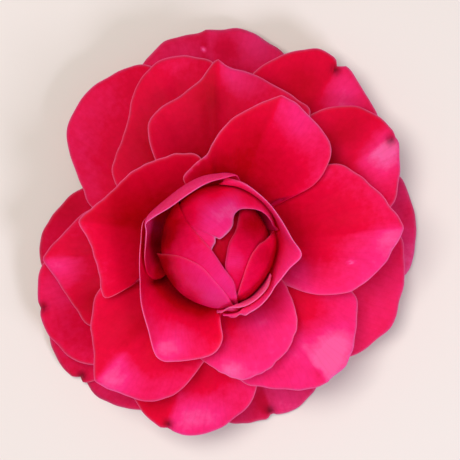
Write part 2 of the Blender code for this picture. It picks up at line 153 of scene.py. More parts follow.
# Open petals from the lowest to the highest, each with the height of its tip. The outline runs from one
# foot round the tip to the other as (azimuth, radius). A fold is (azimuth, lift), a crease. A nick is
# (azimuth, depth). Tone is how much paler or, below zero, deeper the colour is, as values across the petal:
# partly the tissue's own tone and partly painted light and shade. A patch is more of that, as (azimuth,
# radius, size, amount): painted light, or painted shade where the amount is below zero. Margin is how
# strong the painted highlight along the rim is, and foot is the azimuths of a foot that isn't under the
# middle of its petal.
openPetals = {
    "outer_petal_1": {
        "tip": 0.0,
        "outline": [(292, 13), (303, 31), (311, 41), (320, 43), (332, 43.5), (343, 42), (351, 32),
                    (362, 13)],
    },
    "outer_petal_2": {
        "tip": 0.0,
        "outline": [(10, 13), (20, 32), (28, 45), (38, 48), (50, 48.5), (60, 46), (69, 33), (80, 13)],
    },
    "outer_petal_3": {
        "tip": 0.0,
        "outline": [(96, 13), (106, 32), (114, 44), (124, 46.5), (136, 46), (147, 42), (156, 31),
                    (168, 13)],
    },
    "outer_petal_4": {
        "tip": 0.4, "nicks": [(286.5, 1.2)], "folds": [(286.5, 1.6)],
        "toneAndShade": [0.3, 0.2],
        "lightAndShadePatches": [(285, 41, 3, -0.4), (293, 42, 6, 0.3)],
        "outline": [(246, 14), (256, 30), (264, 42), (274, 45.2), (281, 45.4), (287, 45), (295, 45.4),
                    (305, 42.5), (312, 34), (322, 15)],
    },
    "outer_petal_5": {
        "tip": 0.4, "toneAndShade": [0.1, 0.1],
        "outline": [(198, 14), (208, 32), (217, 44), (225, 48.8), (233, 49.4), (241, 47.3), (249, 43.5),
                    (256, 32), (268, 14)],
    },
    "outer_petal_6": {
        "tip": 2.2, "nicks": [(223, 1.4)],
        "outline": [(176, 14), (186, 32), (196, 43), (205, 48.5), (213, 50.3), (220, 50.6), (226, 48),
                    (232, 37), (246, 14)],
    },
    "outer_petal_7": {
        "tip": 3.0, "toneAndShade": [0.9, 0.7, 0.0],
        "lightAndShadePatches": [(9, 47, 6, -0.5), (336, 43, 4, 0.8), (334, 46, 5, 0.4), (342, 46, 4, 0.3),
                    (340, 43.5, 3, -0.25), (345, 36, 5, -0.3)],
        "outline": [(328, 14), (338, 32), (344, 42), (351, 47.2), (360, 49), (368, 49.5), (377, 49),
                    (384, 47), (391, 40), (398, 28), (408, 14)],
    },
    "outer_petal_8": {
        "tip": 4.0, "nicks": [(197, 0.5)], "toneAndShade": -0.1,
        "lightAndShadePatches": [(166, 40, 5, -0.45), (204, 45, 5, 0.3), (208, 41, 5, -0.25)],
        "outline": [(138, 14), (148, 29), (157, 37.5), (165, 41.3), (173, 44.5), (181, 46), (188, 45.3),
                    (195, 41), (202, 30), (212, 14)],
    },
    "outer_petal_9": {
        "tip": 4.0, "folds": [(94, -1.6)], "toneAndShade": [0.3, 0.1, 0.1],
        "lightAndShadePatches": [(80, 52, 4, 0.3), (83, 50, 4, 0.2), (100, 50, 6, 0.2), (89, 49.5, 4, -0.5),
                    (95, 49.2, 0.5, 2.0)],
        "outline": [(52, 14), (58, 34), (64, 46), (72, 50.8), (79, 53.3), (86, 55), (94, 53.8),
                    (103, 53.7), (110, 51.5), (118, 46), (124, 32), (132, 14)],
    },
    "middle_petal_1": {
        "tip": 10.5, "toneAndShade": [-0.1, 0.1],
        "lightAndShadePatches": [(140, 45, 9, 0.15), (118, 45, 5, -0.15)],
        "outline": [(98, 14), (103, 34), (108, 45), (115, 49.8), (123, 50.7), (131, 51), (138, 49.8),
                    (145, 47.2), (151, 42.3), (157, 37.5), (163, 34), (170, 24), (176, 13)],
    },
    "middle_petal_2": {
        "tip": 9.0, "nicks": [(199, 0.5)],
        "lightAndShadePatches": [(199, 37, 4, 0.4), (196, 44, 5, 0.2)],
        "outline": [(168, 14), (174, 30), (180, 40), (186, 45), (193, 47.2), (200, 48.5), (207, 48.7),
                    (214, 47.6), (220, 45.6), (226, 41), (234, 30), (244, 14)],
    },
    "middle_petal_3": {
        "tip": 10.0, "toneAndShade": [0.4, 0.3, 0.0],
        "outline": [(298, 13), (305, 28), (311, 38), (318, 42), (326, 44.6), (335, 47), (346, 46.6),
                    (355, 46), (364, 44.5), (371, 39), (378, 28), (388, 13)],
    },
    "middle_petal_4": {
        "tip": 10.5, "nicks": [(57, 1.8)], "folds": [(57, -2.6)],
        "toneAndShade": [0.1, -0.1, -0.1],
        "lightAndShadePatches": [(65, 45, 6, -0.5), (52, 50, 3.5, 0.4), (50, 45, 4, 0.5), (46, 48, 4, 0.3)],
        "outline": [(20, 14), (26, 34), (33, 46), (40, 50.7), (47, 52.3), (53, 54), (57, 54.3),
                    (62, 54.9), (67, 53.2), (73, 49.3), (80, 43), (88, 32), (96, 14)],
    },
    "middle_petal_5": {
        "tip": 15.5, "nicks": [(392, 0.8)], "folds": [(392, -2.8)],
        "toneAndShade": [0.1, -0.1, -0.2],
        "lightAndShadePatches": [(32, 42.5, 3.5, 0.6), (32, 48.5, 3.5, 0.9), (27, 46.5, 4, 0.6), (24, 42, 4, 0.3),
                    (38, 37, 3, 0.5), (43, 44, 5, -0.3), (43, 38, 4, -0.35)],
        "outline": [(354, 13), (361, 27), (368, 37), (374, 43.9), (381, 47), (389, 50.2), (395, 50.8),
                    (402, 49.7), (408, 46.5), (414, 41.4), (420, 33), (428, 22), (436, 12)],
    },
    "middle_petal_6": {
        "tip": 17.5, "toneAndShade": [-0.2, -0.15],
        "lightAndShadePatches": [(106, 46, 7, 0.15), (122, 30, 9, -0.4)],
        "outline": [(76, 12), (82, 28), (87, 39), (92, 44.8), (98, 47.2), (105, 48.3), (112, 47.3),
                    (119, 44), (126, 39), (133, 35.9), (140, 34), (147, 32), (155, 25), (162, 12)],
    },
    "middle_petal_7": {
        "tip": 15.5, "folds": [(184, 2.4)], "toneAndShade": [-0.15, 0.0],
        "lightAndShadePatches": [(186, 41.5, 3.5, 0.4), (190, 38, 4, 0.3), (204, 34, 5, -0.7), (172, 36, 6, 0.15)],
        "outline": [(150, 12), (157, 26), (164, 33), (170, 36.5), (177, 40), (184, 43.7), (190, 42),
                    (197, 40.2), (204, 39.2), (211, 38), (219, 32), (227, 22), (236, 12)],
    },
    "middle_petal_8": {
        "tip": 21.5, "folds": [(91, -2.2)], "toneAndShade": [0.0, -0.15, -0.2],
        "lightAndShadePatches": [(94, 38.5, 5, -0.5), (86, 42, 4, 0.5), (80, 39, 5, 0.25), (103, 34, 6, -0.15)],
        "outline": [(50, 12), (52, 28), (56, 39), (63, 40.4), (71, 41.5), (80, 42.7), (88, 44),
                    (92, 44.9), (97, 41), (105, 38.3), (114, 36.7), (122, 34), (129, 24), (134, 12)],
    },
    "inner_petal_1": {
        "tip": 14.0, "nicks": [(253.5, 0.8)], "folds": [(253.5, 2.6)],
        "toneAndShade": [-0.1, 0.1, 0.4],
        "lightAndShadePatches": [(262, 33.5, 5, -0.4), (258, 44, 4, 0.4), (263, 40, 5, 0.4), (268, 43, 4, 0.3),
                    (247, 42, 5, -0.5)],
        "outline": [(222, 12), (229, 28), (236, 40), (243, 44.9), (250, 46.9), (254, 47.2), (259, 47.6),
                    (265, 46.9), (272, 44), (279, 40.5), (285, 35), (293, 24), (304, 12)],
    },
    "inner_petal_2": {
        "tip": 19.5, "folds": [(308, 1.6)], "toneAndShade": [0.4, 0.5, 0.3],
        "lightAndShadePatches": [(304, 31, 3, 0.4), (312, 39, 4, 0.4), (317, 35, 5, 0.4), (320, 38, 4, 0.3),
                    (308, 39.5, 1.6, -0.5), (324, 27, 5, -0.4), (302, 37, 5, 0.2)],
        "outline": [(262, 12), (270, 26), (279, 33.8), (287, 36.2), (295, 39), (303, 41.6), (310, 42),
                    (317, 42.4), (324, 40.3), (332, 37.8), (340, 34.8), (348, 26), (358, 12)],
    },
    "inner_petal_3": {
        "tip": 23.0, "folds": [(227, 2.4)], "toneAndShade": [-0.1, 0.0, 0.1],
        "lightAndShadePatches": [(230, 42.5, 3, 0.5), (235, 40, 4, 0.4), (228, 37.5, 2.5, 0.5), (240, 32, 5, -0.3),
                    (216, 34, 6, -0.15), (248, 37, 5, 0.2)],
        "outline": [(184, 12), (192, 25), (201, 32.5), (208, 35.8), (215, 38.6), (221, 41), (227, 44.6),
                    (234, 43.8), (242, 42.6), (249, 40.2), (255, 35.8), (261, 29), (268, 22),
                    (278, 12)],
    },
    "inner_petal_4": {
        "tip": 27.0, "folds": [(366, -2.4)], "toneAndShade": [0.7, 0.2, -0.1],
        "lightAndShadePatches": [(342, 19, 4, 0.7), (3, 41, 4, 0.3), (352, 37, 7, 0.25), (353, 31.7, 0.6, 1.0),
                    (18, 30, 7, -0.15)],
        "outline": [(316, 10), (328, 17.5), (333, 26), (341, 33.4), (350, 38), (358, 41.4), (366, 43.9),
                    (374, 42), (382, 39.3), (390, 36.8), (397, 33.2), (404, 25), (412, 12)],
    },
    "inner_petal_5": {
        "tip": 28.5, "folds": [(170, 1.8)], "toneAndShade": [-0.4, -0.3, -0.2],
        "lightAndShadePatches": [(158, 25, 7, -0.3), (193, 29, 5, 0.2), (128, 24, 4, 0.1)],
        "outline": [(98, 11), (103, 22), (113, 24.4), (124, 25.9), (135, 27.4), (146, 28.8),
                    (156, 30.2), (163, 32.3), (170, 34.6), (178, 31.8), (187, 30.7), (196, 30.4),
                    (204, 30.8), (204, 25), (199, 19), (196, 11)],
    },
    "inner_petal_6": {
        "tip": 30.5, "foot": (54, 122), "folds": [(68, -2.8)],
        "toneAndShade": [0.0, 0.0, -0.3], "highlightMargin": [0, 0, 0.4, 1, 1, 1, 1, 1, 1, 0.8],
        "lightAndShadePatches": [(58, 36, 5, 0.35), (47, 31, 6, 0.1), (76, 27, 9, -0.4), (102, 17, 4, -0.5),
                    (100, 22.0, 0.8, 0.8), (106, 21.0, 0.8, 0.8), (112, 20.2, 0.8, 0.8),
                    (117, 19.5, 0.8, 0.7)],
        "outline": [(56, 11), (50, 13.2), (42, 17.0), (35, 22.0), (33.5, 27), (37, 32), (42, 35.8),
                    (49, 37), (57, 38.2), (64, 38.8), (69, 38.4), (76, 35), (84.5, 31.2), (90, 27.9),
                    (95, 24.9), (99, 22.6), (108.5, 20.7), (118.5, 19.4), (120, 16.5), (121, 11)],
    },
    "inner_petal_7": {
        "tip": 27.0, "toneAndShade": [0.3, 0.5, 0.4],
        "lightAndShadePatches": [(298, 19.5, 4, 0.6), (273, 30, 2.5, 0.4), (278, 30.5, 3, 0.3), (300, 26, 5, 0.1)],
        "outline": [(254, 11), (252, 20), (257, 26.5), (264, 28.9), (272, 31.3), (280, 32.9),
                    (289, 32.2), (297, 31), (305, 29.3), (313, 27), (320, 23.5), (327, 19.4), (332, 16),
                    (330, 10)],
    },
}


# Height is a cubic of the radius, and rays fan from the foot's arc to the outline, which has a cusp at
# each fold and a narrow bell at each nick. The square of the distance from the middle line lowers or
# raises the sides. Folds, waves, pleats and the curled margin are added.
def openGrid(petal, ring, footHeight, columns, rows):
    shape = rings[ring]
    side = np.linspace(-1, 1, columns)
    out = np.linspace(0, 1, rows)[:, None]
    azimuth, radius = np.array(petal["outline"], float).T
    middle = 0.5 * (azimuth[0] + azimuth[-1])
    rim = smoothCurve(around(azimuth, radius), columns)
    rimAzimuth = np.degrees(np.unwrap(np.arctan2(rim[:, 1], rim[:, 0])))
    rimAzimuth += 360 * np.round((middle - rimAzimuth.mean()) / 360)
    rimRadius = np.linalg.norm(rim, axis=1)
    for line, _ in petal.get("folds", []):
        apart = np.radians(rimAzimuth - line) * rimRadius
        rimRadius = rimRadius + outlineEdge["corner"] * np.exp(-np.abs(apart) / outlineEdge["cornerWidth"])
    for place, depth in petal.get("nicks", []):
        apart = np.radians(rimAzimuth - place) * rimRadius
        rimRadius = rimRadius - depth * np.exp(-(apart / outlineEdge["nickWidth"])**2)
    clearOfFoot = np.clip(4 * (1 - np.abs(side)), 0, 1)
    rimRadius = rimRadius + outlineEdge["ripple"] * ripple(columns, (9, 13, 17, 22)) * clearOfFoot
    rim = around(rimAzimuth, rimRadius)
    rootEnds = petal.get("foot", (middle - foot["halfSpread"], middle + foot["halfSpread"]))
    root = around(np.linspace(*rootEnds, columns), foot["radius"])
    plan = root + (rim - root) * out[..., None]
    fromAxis = np.linalg.norm(plan, axis=2)
    reach = fromAxis.max() - foot["radius"]
    t = np.clip((fromAxis - foot["radius"]) / reach, 0, 1)
    height = rise(t, footHeight, shape["start"] * reach, petal["tip"], shape["end"] * reach)
    height += side**2 * (4 * shape["cup"] * t * (1 - t) - shape["bow"] * t)
    grid = np.dstack([plan, height])
    inward = rimDistance(grid)
    for line, lift in petal.get("folds", []):
        apart = side - np.interp(line, rimAzimuth, side)
        grid[..., 2] += foldLift(grid, apart, lift) * out**1.5
    waves = shape["wave"] * ripple(columns, (2, 3, 5, 7))
    pleats = shape["fan"] * ripple(columns, (6, 8, 11, 14))
    curl = shape["curl"] * (1 + 0.6 * ripple(columns, (2, 3, 4)))
    grid[..., 2] += waves * np.exp(-inward / outlineEdge["waveWidth"]) * out**2
    grid[..., 2] += pleats * np.sin(0.8 * np.pi * out**1.6)
    grid[..., 2] -= curl * np.exp(-inward / outlineEdge["curlWidth"]) * out**2
    return grid


# The closed bud is a nest of shells round this centre. Angles are from straight up, and the feet step
# outwards from one shell to the next.
nest = {
    "centre": np.array([0.0, 0.0, 32.0]),
    "footAngle": 152.0,
    "footRadius": 6.4,
    "footStep": 0.90,
    "footShare": 0.8,  # how wide a foot is beside its petal's belly
    "bellyAngle": 96.0,
    "bellyPull": 1.3,
}

# Petals of the bud and of the cup round it, from the inside out: the belly's distances from the bud's
# centre and the azimuths between which they lie, and the rim as (azimuth, radius, height above the
# centre). A fold is (place across the petal, lift). The rest is as for the open petals.
closedPetals = {
    "bud_petal_1": {
        "belly": [12.4], "sides": (50, 300), "toneAndShade": -0.8,
        "rim": [(52, 11.2, 0), (46, 9.4, 4.6), (24, 6.6, 7.6), (344, 6, 8), (312, 9, 5), (303, 11, 0)],
    },
    "bud_petal_2": {
        "belly": [14.2, 13.8], "sides": (272, 432), "toneAndShade": -0.2,
        "lightAndShadePatches": [(309, 4.4, 3, 0.5), (38, 8.6, 4, -0.7)],
        "rim": [(284, 12.4, 1.5), (284.5, 10.9, 6.8), (283.5, 8, 9.4), (281.4, 5.1, 10.8),
                (299, 2.6, 11.1), (26, 2.1, 10.6), (48, 4.9, 9.4), (60, 8.4, 7.4), (68, 11, 3.4)],
    },
    "bud_petal_3": {
        "belly": [15.2, 14.9, 14.8], "sides": (284, 378), "toneAndShade": -0.1,
        "lightAndShadePatches": [(350, 10.5, 3, -0.5)],
        "rim": [(286, 13.2, 0.5), (287, 12.6, 5.3), (293, 11, 7.8), (316, 7.9, 9.9), (342, 7.4, 10.1),
                (354, 8.0, 9.6), (4, 9.2, 8.6), (8, 10.6, 7.2), (13, 12.0, 4.6), (16, 12.8, 0)],
    },
    "bud_petal_4": {
        "belly": [15.2, 16.2, 17.4, 16.6, 15.8, 15.2], "sides": (14, 262),
        "toneAndShade": [0.3, 0.4, 0.6, 0.3, -0.7, -1.0], "highlightMargin": [0, 1, 1, 2, 3, 8, 8, 3, 1, 0, 0],
        "lightAndShadePatches": [(96, 13.6, 3.5, -0.9), (60, 12.5, 3, -0.5), (95, 9, 3, 0.2), (110, 7, 3, 0.2),
                    (142, 12, 4, -0.8), (72, 10.5, 2.5, 0.2)],
        "rim": [(16, 13.3, 0), (26, 13.4, 3.6), (36, 13.1, 5.2), (45, 12.3, 6.8), (54, 11.1, 8.3),
                (62, 10.0, 9.4), (66.5, 8.6, 10.6), (66, 7.4, 11.2), (61, 5.8, 11.8), (61, 4.4, 12.3),
                (70, 2.8, 12.6), (97, 1.8, 12.7), (118, 2.5, 12.9), (143, 1.6, 12.8), (177, 1.8, 12.6),
                (206, 2.4, 12.4), (238, 4.6, 11.6), (262, 8.6, 9.6), (270, 12, 4)],
    },
    "bud_petal_5": {
        "belly": [16.0, 15.8, 15.8, 15.8], "sides": (132, 284), "toneAndShade": [-1.0, -0.3, 0.5, 0.5],
        "highlightMargin": [0, 0, 0, 0.1, 1, 1, 1, 1, 1, 0],
        "lightAndShadePatches": [(172, 14.5, 3.2, -1.4), (155, 12.5, 3, -0.5)],
        "rim": [(132, 13.5, 0), (137, 12.3, 6.6), (143, 9.5, 10), (147, 7.1, 11.6), (156, 4.8, 12.5),
                (205, 2.2, 13.1), (279, 5.2, 12.4), (290, 8.6, 10.6), (288.5, 11.2, 8.2),
                (286, 13.4, 3)],
    },
    "bud_petal_6": {
        "belly": [16.0, 16.4, 16.6], "sides": (184, 284), "toneAndShade": [-0.8, -0.1, 0.5, 0.5],
        "lightAndShadePatches": [(194, 14.5, 3, -1.0), (215, 14.8, 2.6, -0.9), (240, 14.6, 2.4, -0.6)],
        "rim": [(186, 13.6, 0), (188, 12.2, 7.2), (195, 9, 10.8), (226, 6.4, 12.4), (265, 8.7, 11.2),
                (277, 11.4, 8.8), (282.5, 13.6, 4.4)],
    },
    "cup_petal_1": {
        "belly": [14.2, 13.4, 13.4], "shoulder": (66, 13.6), "sides": (266, 332), "toneAndShade": 0.9,
        "rim": [(267, 14.2, 1), (274, 14.4, 6), (281, 14.7, 8.4), (288, 15.1, 9.2), (297, 15.2, 9.3),
                (308, 15.0, 9.1), (320, 14.7, 8), (330, 14.0, 4)],
    },
    "cup_petal_2": {
        "belly": [14.8, 13.2, 13.0, 13.8, 15.0, 15.4], "shoulder": (62, 13.8), "sides": (-90, 94),
        "toneAndShade": [0.8, 0.6, 0.4, 0.2],
        "rim": [(-86, 15.4, 0), (-76, 16.2, 6.5), (-71, 16.9, 8.8), (-66, 16.2, 9.2), (-53, 15.8, 9.6),
                (-32, 16.0, 10), (-18, 17.0, 10.2), (-6, 19.2, 10.4), (6, 17, 10.6), (24, 15.6, 10.8),
                (44, 15.3, 11), (68, 15.9, 10.4), (86, 16.6, 7)],
    },
    "cup_petal_3": {
        "belly": [15.9, 15.8, 15.2, 14.8, 14.6], "sides": (72, 208), "toneAndShade": [0.5, 0.4, 0.3, 0.0, -0.1],
        "highlightMargin": [0, 0, 0.3, 0.9, 1, 1, 1, 0.6, 0, 0, 0],
        "lightAndShadePatches": [(163, 17, 2.5, 0.5), (178, 15.6, 1.8, -0.5), (190, 15.8, 1.8, -0.5),
                    (203, 15.6, 2, -0.7), (207, 16.5, 2.5, -0.7)],
        "rim": [(66, 16.0, 3), (78, 15.9, 8.6), (90, 15.9, 11), (104, 15.2, 12.4), (122, 14.5, 13),
                (142, 15.1, 12.8), (155, 17.0, 12.2), (163, 18.5, 11.6), (169, 17.9, 10.8),
                (178, 17.8, 9.4), (188, 18.3, 7), (196, 18.7, 4), (201, 18.8, 1), (206, 18.2, -2.5),
                (208, 17.0, -6.5)],
    },
    "cup_petal_4": {
        "belly": [16.2, 15.8, 15.4, 15.6], "sides": (158, 274), "folds": [(0.28, 1.6)],
        "toneAndShade": [0.0, 0.0, 0.1, 0.1],
        "lightAndShadePatches": [(240, 28.8, 2.2, 0.5), (246, 27, 3, 0.3), (244, 25, 5, 0.4), (268, 22, 3, -0.3),
                    (203, 15, 3.2, -0.9), (215, 15.5, 3.5, -1.0), (232, 15, 3.5, -1.0),
                    (250, 14.5, 3.5, -0.8)],
        "rim": [(156, 17.0, 1), (164, 18.4, 6.4), (176, 19.0, 7.4), (190, 19.6, 6.8), (203, 20.8, 5.2),
                (216, 23.2, 3.4), (229, 26, 1.8), (240, 29.8, 0.6), (249, 28.8, 0), (260, 27, 0),
                (267, 25.4, -0.4), (271, 22.4, -0.6), (270, 19, -1.2), (268, 14, -3)],
    },
}


# Unit directions at these azimuths, at one angle from straight up.
def headings(azimuth, angle):
    tilt = np.full(len(azimuth), math.radians(angle))
    return np.column_stack([around(azimuth, np.sin(tilt)), np.cos(tilt)])


# Each ray bends over the bud from its foot under it, past the belly and the shoulder, to the rim, as a
# Bezier curve of directions times one of distances from the bud's centre. The shoulder is (angle from
# straight up, distance), and most petals have none.
def closedGrid(petal, level, columns, rows):
    azimuth, radius, height = np.array(petal["rim"], float).T
    rim = smoothCurve(np.column_stack([around(azimuth, radius), height]), columns)
    rimReach = np.linalg.norm(rim, axis=1)
    side = np.linspace(-1, 1, columns)
    across = np.linspace(*petal["sides"], columns)
    middle = 0.5 * sum(petal["sides"])
    root = headings(middle + (across - middle) * nest["footShare"], nest["footAngle"])
    waist = headings(across, nest["bellyAngle"]) * nest["bellyPull"]
    parts = [(root, nest["footRadius"] + nest["footStep"] * level),
             (waist, acrossPetal(petal["belly"], side)),
             (rim / rimReach[:, None], rimReach)]
    if "shoulder" in petal:
        angle, distance = petal["shoulder"]
        parts.insert(2, (headings(across, angle), distance))
    t = np.linspace(0, 1, rows)[:, None]
    last = len(parts) - 1
    heading, reach = 0, 0
    for k, (direction, distance) in enumerate(parts):
        share = math.comb(last, k) * t**k * (1 - t)**(last - k)
        heading = heading + share[..., None] * direction
        reach = reach + share * distance
    heading = unit(heading)
    for line, lift in petal.get("folds", []):
        reach = reach + foldLift(heading * reach[..., None], side - line, lift) * t**2
    return heading * reach[..., None] + nest["centre"]


# Petals are laid on a pile that keeps the highest surface so far over small cells, which are
# millimetres seen from above and degrees seen from the bud's centre.
piling = {
    "planCell": 0.4,
    "planHalf": 60.0,
    "sphereCell": 1.4,
    "sphereHalf": 180.0,
    "spread": 2,  # cells by which a lift is widened before it is blurred
    "blurs": 6,
    "softSteps": 5,  # steps that lift softly, before the last ones mend what is left
    "steps": 7,
    "slack": 0.01,
    "rounds": 3,  # times that a closed petal is cleared of the open ones and of the bud
}


def planarView(points):
    up = np.zeros_like(points)
    up[..., 2] = 1
    return points[..., 0] / piling["planCell"], points[..., 1] / piling["planCell"], points[..., 2], up


# Angle from straight up, laid out flat round the top, with the distance from the centre as height.
def sphereView(points):
    offset = points - nest["centre"]
    reach = np.linalg.norm(offset, axis=-1)
    angle = np.degrees(np.arccos(np.clip(offset[..., 2] / reach, -1, 1))) / piling["sphereCell"]
    turn = np.arctan2(offset[..., 1], offset[..., 0])
    return angle * np.cos(turn), angle * np.sin(turn), reach, offset / reach[..., None]


def gridNormals(grid):
    return unit(np.cross(np.gradient(grid, axis=0), np.gradient(grid, axis=1)))


# Bilinear reading of the grid at count points to each cell.
def refine(grid, count):
    rows, columns = grid.shape[:2]
    r = np.linspace(0, rows - 1, (rows - 1) * count + 1)
    c = np.linspace(0, columns - 1, (columns - 1) * count + 1)
    r0 = np.minimum(r.astype(int), rows - 2)
    c0 = np.minimum(c.astype(int), columns - 2)
    fr = (r - r0)[:, None, None]
    fc = (c - c0)[None, :, None]
    upper = grid[r0][:, c0] * (1 - fc) + grid[r0][:, c0 + 1] * fc
    lower = grid[r0 + 1][:, c0] * (1 - fc) + grid[r0 + 1][:, c0 + 1] * fc
    return upper * (1 - fr) + lower * fr


# Largest value within reach cells along both axes.
def widened(values, reach):
    for axis in (0, 1):
        padding = [(0, 0), (0, 0)]
        padding[axis] = (reach, reach)
        padded = np.pad(values, padding)
        size = values.shape[axis]
        shifted = [np.take(padded, range(k, k + size), axis) for k in range(2 * reach + 1)]
        values = np.maximum.reduce(shifted)
    return values


def blurred(values, times):
    for _ in range(times):
        padded = np.pad(values, 1, mode="edge")
        values = (padded[:-2] + 2 * padded[1:-1] + padded[2:]) / 4
        values = (values[:, :-2] + 2 * values[:, 1:-1] + values[:, 2:]) / 4
    return values


# The highest surface so far over each cell of the view. A leaning petal counts as thicker.
class Pile:
    def __init__(self, view, half):
        self.view = view
        self.middle = int(half) + 2
        self.top = np.full((2 * self.middle + 1,) * 2, -1e3)

    def cells(self, points):
        u, v, height, up = self.view(points)
        i = np.clip(np.round(u).astype(int) + self.middle, 1, 2 * self.middle - 1)
        j = np.clip(np.round(v).astype(int) + self.middle, 1, 2 * self.middle - 1)
        lean = 1 / np.clip(np.abs((gridNormals(points) * up).sum(-1)), 0.4, 1)
        return i, j, height, lean

    def add(self, grid, thickness):
        i, j, height, lean = self.cells(refine(grid, 3))
        for di, dj in ((0, 0), (1, 0), (-1, 0), (0, 1), (0, -1)):
            np.maximum.at(self.top, (i + di, j + dj), height + 0.5 * thickness * lean)

    def shortfall(self, grid, thickness):
        i, j, height, lean = self.cells(grid)
        return np.maximum(self.top[i, j] + (0.5 * thickness + sheet["gap"]) * lean - height, 0)


# Raises the grid clear of the pile, softly and then by whatever is still missing.
def settle(grid, pile, thickness):
    for step in range(piling["steps"]):
        short = pile.shortfall(grid, thickness)
        if short.max() < piling["slack"]:
            break
        blurs = piling["blurs"] if step < piling["softSteps"] else 1
        lift = blurred(widened(short, piling["spread"]), blurs)
        grid = grid + pile.view(grid)[3] * lift[..., None]
    return grid


# What is painted on a petal: how far the painted light and painted shade beside a crease reach, and the dry
# spot at a nick, in millimetres.
marks = {"creaseLightAndShade": 0.35, "creaseLine": 0.5, "creaseWidth": 5.0, "nickInset": 1.0, "nickSpot": 1.3}


# Each patch is a round bell of painted light, or of painted shade where its amount is below zero. A crease
# gets painted light on its steep side and painted shade on the other, and the spot at a nick is a small
# bell.
def petalMarksAndShade(grid, inward, petal):
    side, out = np.meshgrid(np.linspace(-1, 1, grid.shape[1]), np.linspace(0, 1, grid.shape[0]))
    plan = grid[..., :2]
    rimReach = np.linalg.norm(plan[-1], axis=1)
    toneAndShade = acrossPetal(petal.get("toneAndShade", 0.0), side)
    for azimuth, radius, size, amount in petal.get("lightAndShadePatches", []):
        apart = np.linalg.norm(plan - around(azimuth, radius), axis=2)
        toneAndShade = toneAndShade + amount * np.exp(-(apart / size)**2)
    if "outline" in petal:
        turn = np.degrees(np.arctan2(plan[-1, :, 1], plan[-1, :, 0]))
        # Painted light on the steep side of each crease and painted shade on the other.
        for azimuth, lift in petal.get("folds", []):
            away = np.radians((turn - azimuth + 180) % 360 - 180) * rimReach * out * np.sign(lift)
            fade = np.exp(-np.abs(away) / marks["creaseWidth"]) * out**2
            toneAndShade = toneAndShade + marks["creaseLightAndShade"] * np.tanh(away / marks["creaseLine"]) * fade
    nick = np.zeros_like(toneAndShade)
    for azimuth, depth in petal.get("nicks", []):
        apart = plan - around(azimuth, rimReach.max() - marks["nickInset"] - depth)
        nick = nick + np.exp(-(np.linalg.norm(apart, axis=2) / marks["nickSpot"])**2)
    # How strong the painted highlight along the rim is, across the petal.
    highlightMargin = acrossPetal(petal.get("highlightMargin", [0, 1, 1, 1, 1, 1, 1, 1, 1, 0]), side)
    return {"petalSide": side, "petalOut": out, "petalRim": inward, "petalToneAndShade": toneAndShade,
            "petalNick": nick, "petalMargin": highlightMargin * out**3}


# Both skins of a shell and, last, the strip of faces round its edge.
def shellFaces(rows, columns):
    count = rows * columns
    index = np.arange(count).reshape(rows, columns)
    upper = np.stack([index[:-1, :-1], index[1:, :-1], index[1:, 1:], index[:-1, 1:]], -1).reshape(-1, 4)
    lower = upper[:, ::-1] + count
    loop = np.concatenate([index[0, :-1], index[:-1, -1], index[-1, :0:-1], index[:0:-1, 0]])
    following = np.roll(loop, -1)
    strip = np.stack([loop, following, following + count, loop + count], -1)
    return np.vstack([upper, lower, strip]), len(strip)


# A closed shell round the grid: half the thickness to each side, thinning to the rim with the square
# root of the distance from it. The marks go with it as attributes, and the edge strip is shaded flat.
def petalPiece(name, grid, thickness, material, petal):
    inward = rimDistance(grid)
    ease = np.clip(inward / sheet["rimWidth"], 0, 1)**0.5
    half = 0.5 * (sheet["rimThickness"] + (thickness - sheet["rimThickness"]) * ease)[..., None]
    normal = gridNormals(grid)
    points = np.vstack([(grid + half * normal + axisPlace).reshape(-1, 3),
                        (grid - half * normal + axisPlace).reshape(-1, 3)]) * mm
    faces, stripCount = shellFaces(*grid.shape[:2])
    mesh = bpy.data.meshes.new(name)
    mesh.from_pydata(points.tolist(), [], faces.tolist())
    for label, values in petalMarksAndShade(grid, inward, petal).items():
        layer = mesh.attributes.new(label, "FLOAT", "POINT")
        layer.data.foreach_set("value", np.tile(values.reshape(-1), 2).astype(np.float32))
    mesh.polygons.foreach_set("use_smooth", np.arange(len(faces)) < len(faces) - stripCount)
    mesh.materials.append(material)
    piece = bpy.data.objects.new(name + "_look", mesh)
    bpy.context.scene.collection.objects.link(piece)
    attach(piece, "root")
    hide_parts(name)


# sRGB hex colour as linear red, green, blue and alpha.
def hexColour(text):
    parts = [int(text[k:k + 2], 16) / 255 for k in (1, 3, 5)]
    return tuple(p / 12.92 if p <= 0.04045 else ((p + 0.055) / 1.055)**2.4 for p in parts) + (1.0,)


# Sets or links a node's inputs, by name or number.
def fill(tree, made, inputs):
    for key, value in inputs.items():
        if isinstance(value, bpy.types.NodeSocket):
            tree.links.new(value, made.inputs[key])
        else:
            made.inputs[key].default_value = value


# Adds a node with its settings and inputs, and hands back one of its outputs.
def node(tree, kind, inputs, output=0, **settings):
    made = tree.nodes.new(kind)
    for key, value in settings.items():
        setattr(made, key, value)
    fill(tree, made, inputs)
    return made.outputs[output]


def newMaterial(name):
    material = bpy.data.materials.new(name)
    material.use_nodes = True
    return material, material.node_tree, material.node_tree.nodes["Principled BSDF"]


# Noise scale for a pattern whose features are this many millimetres wide.
def patternScale(width):
    return 1 / (width * mm)


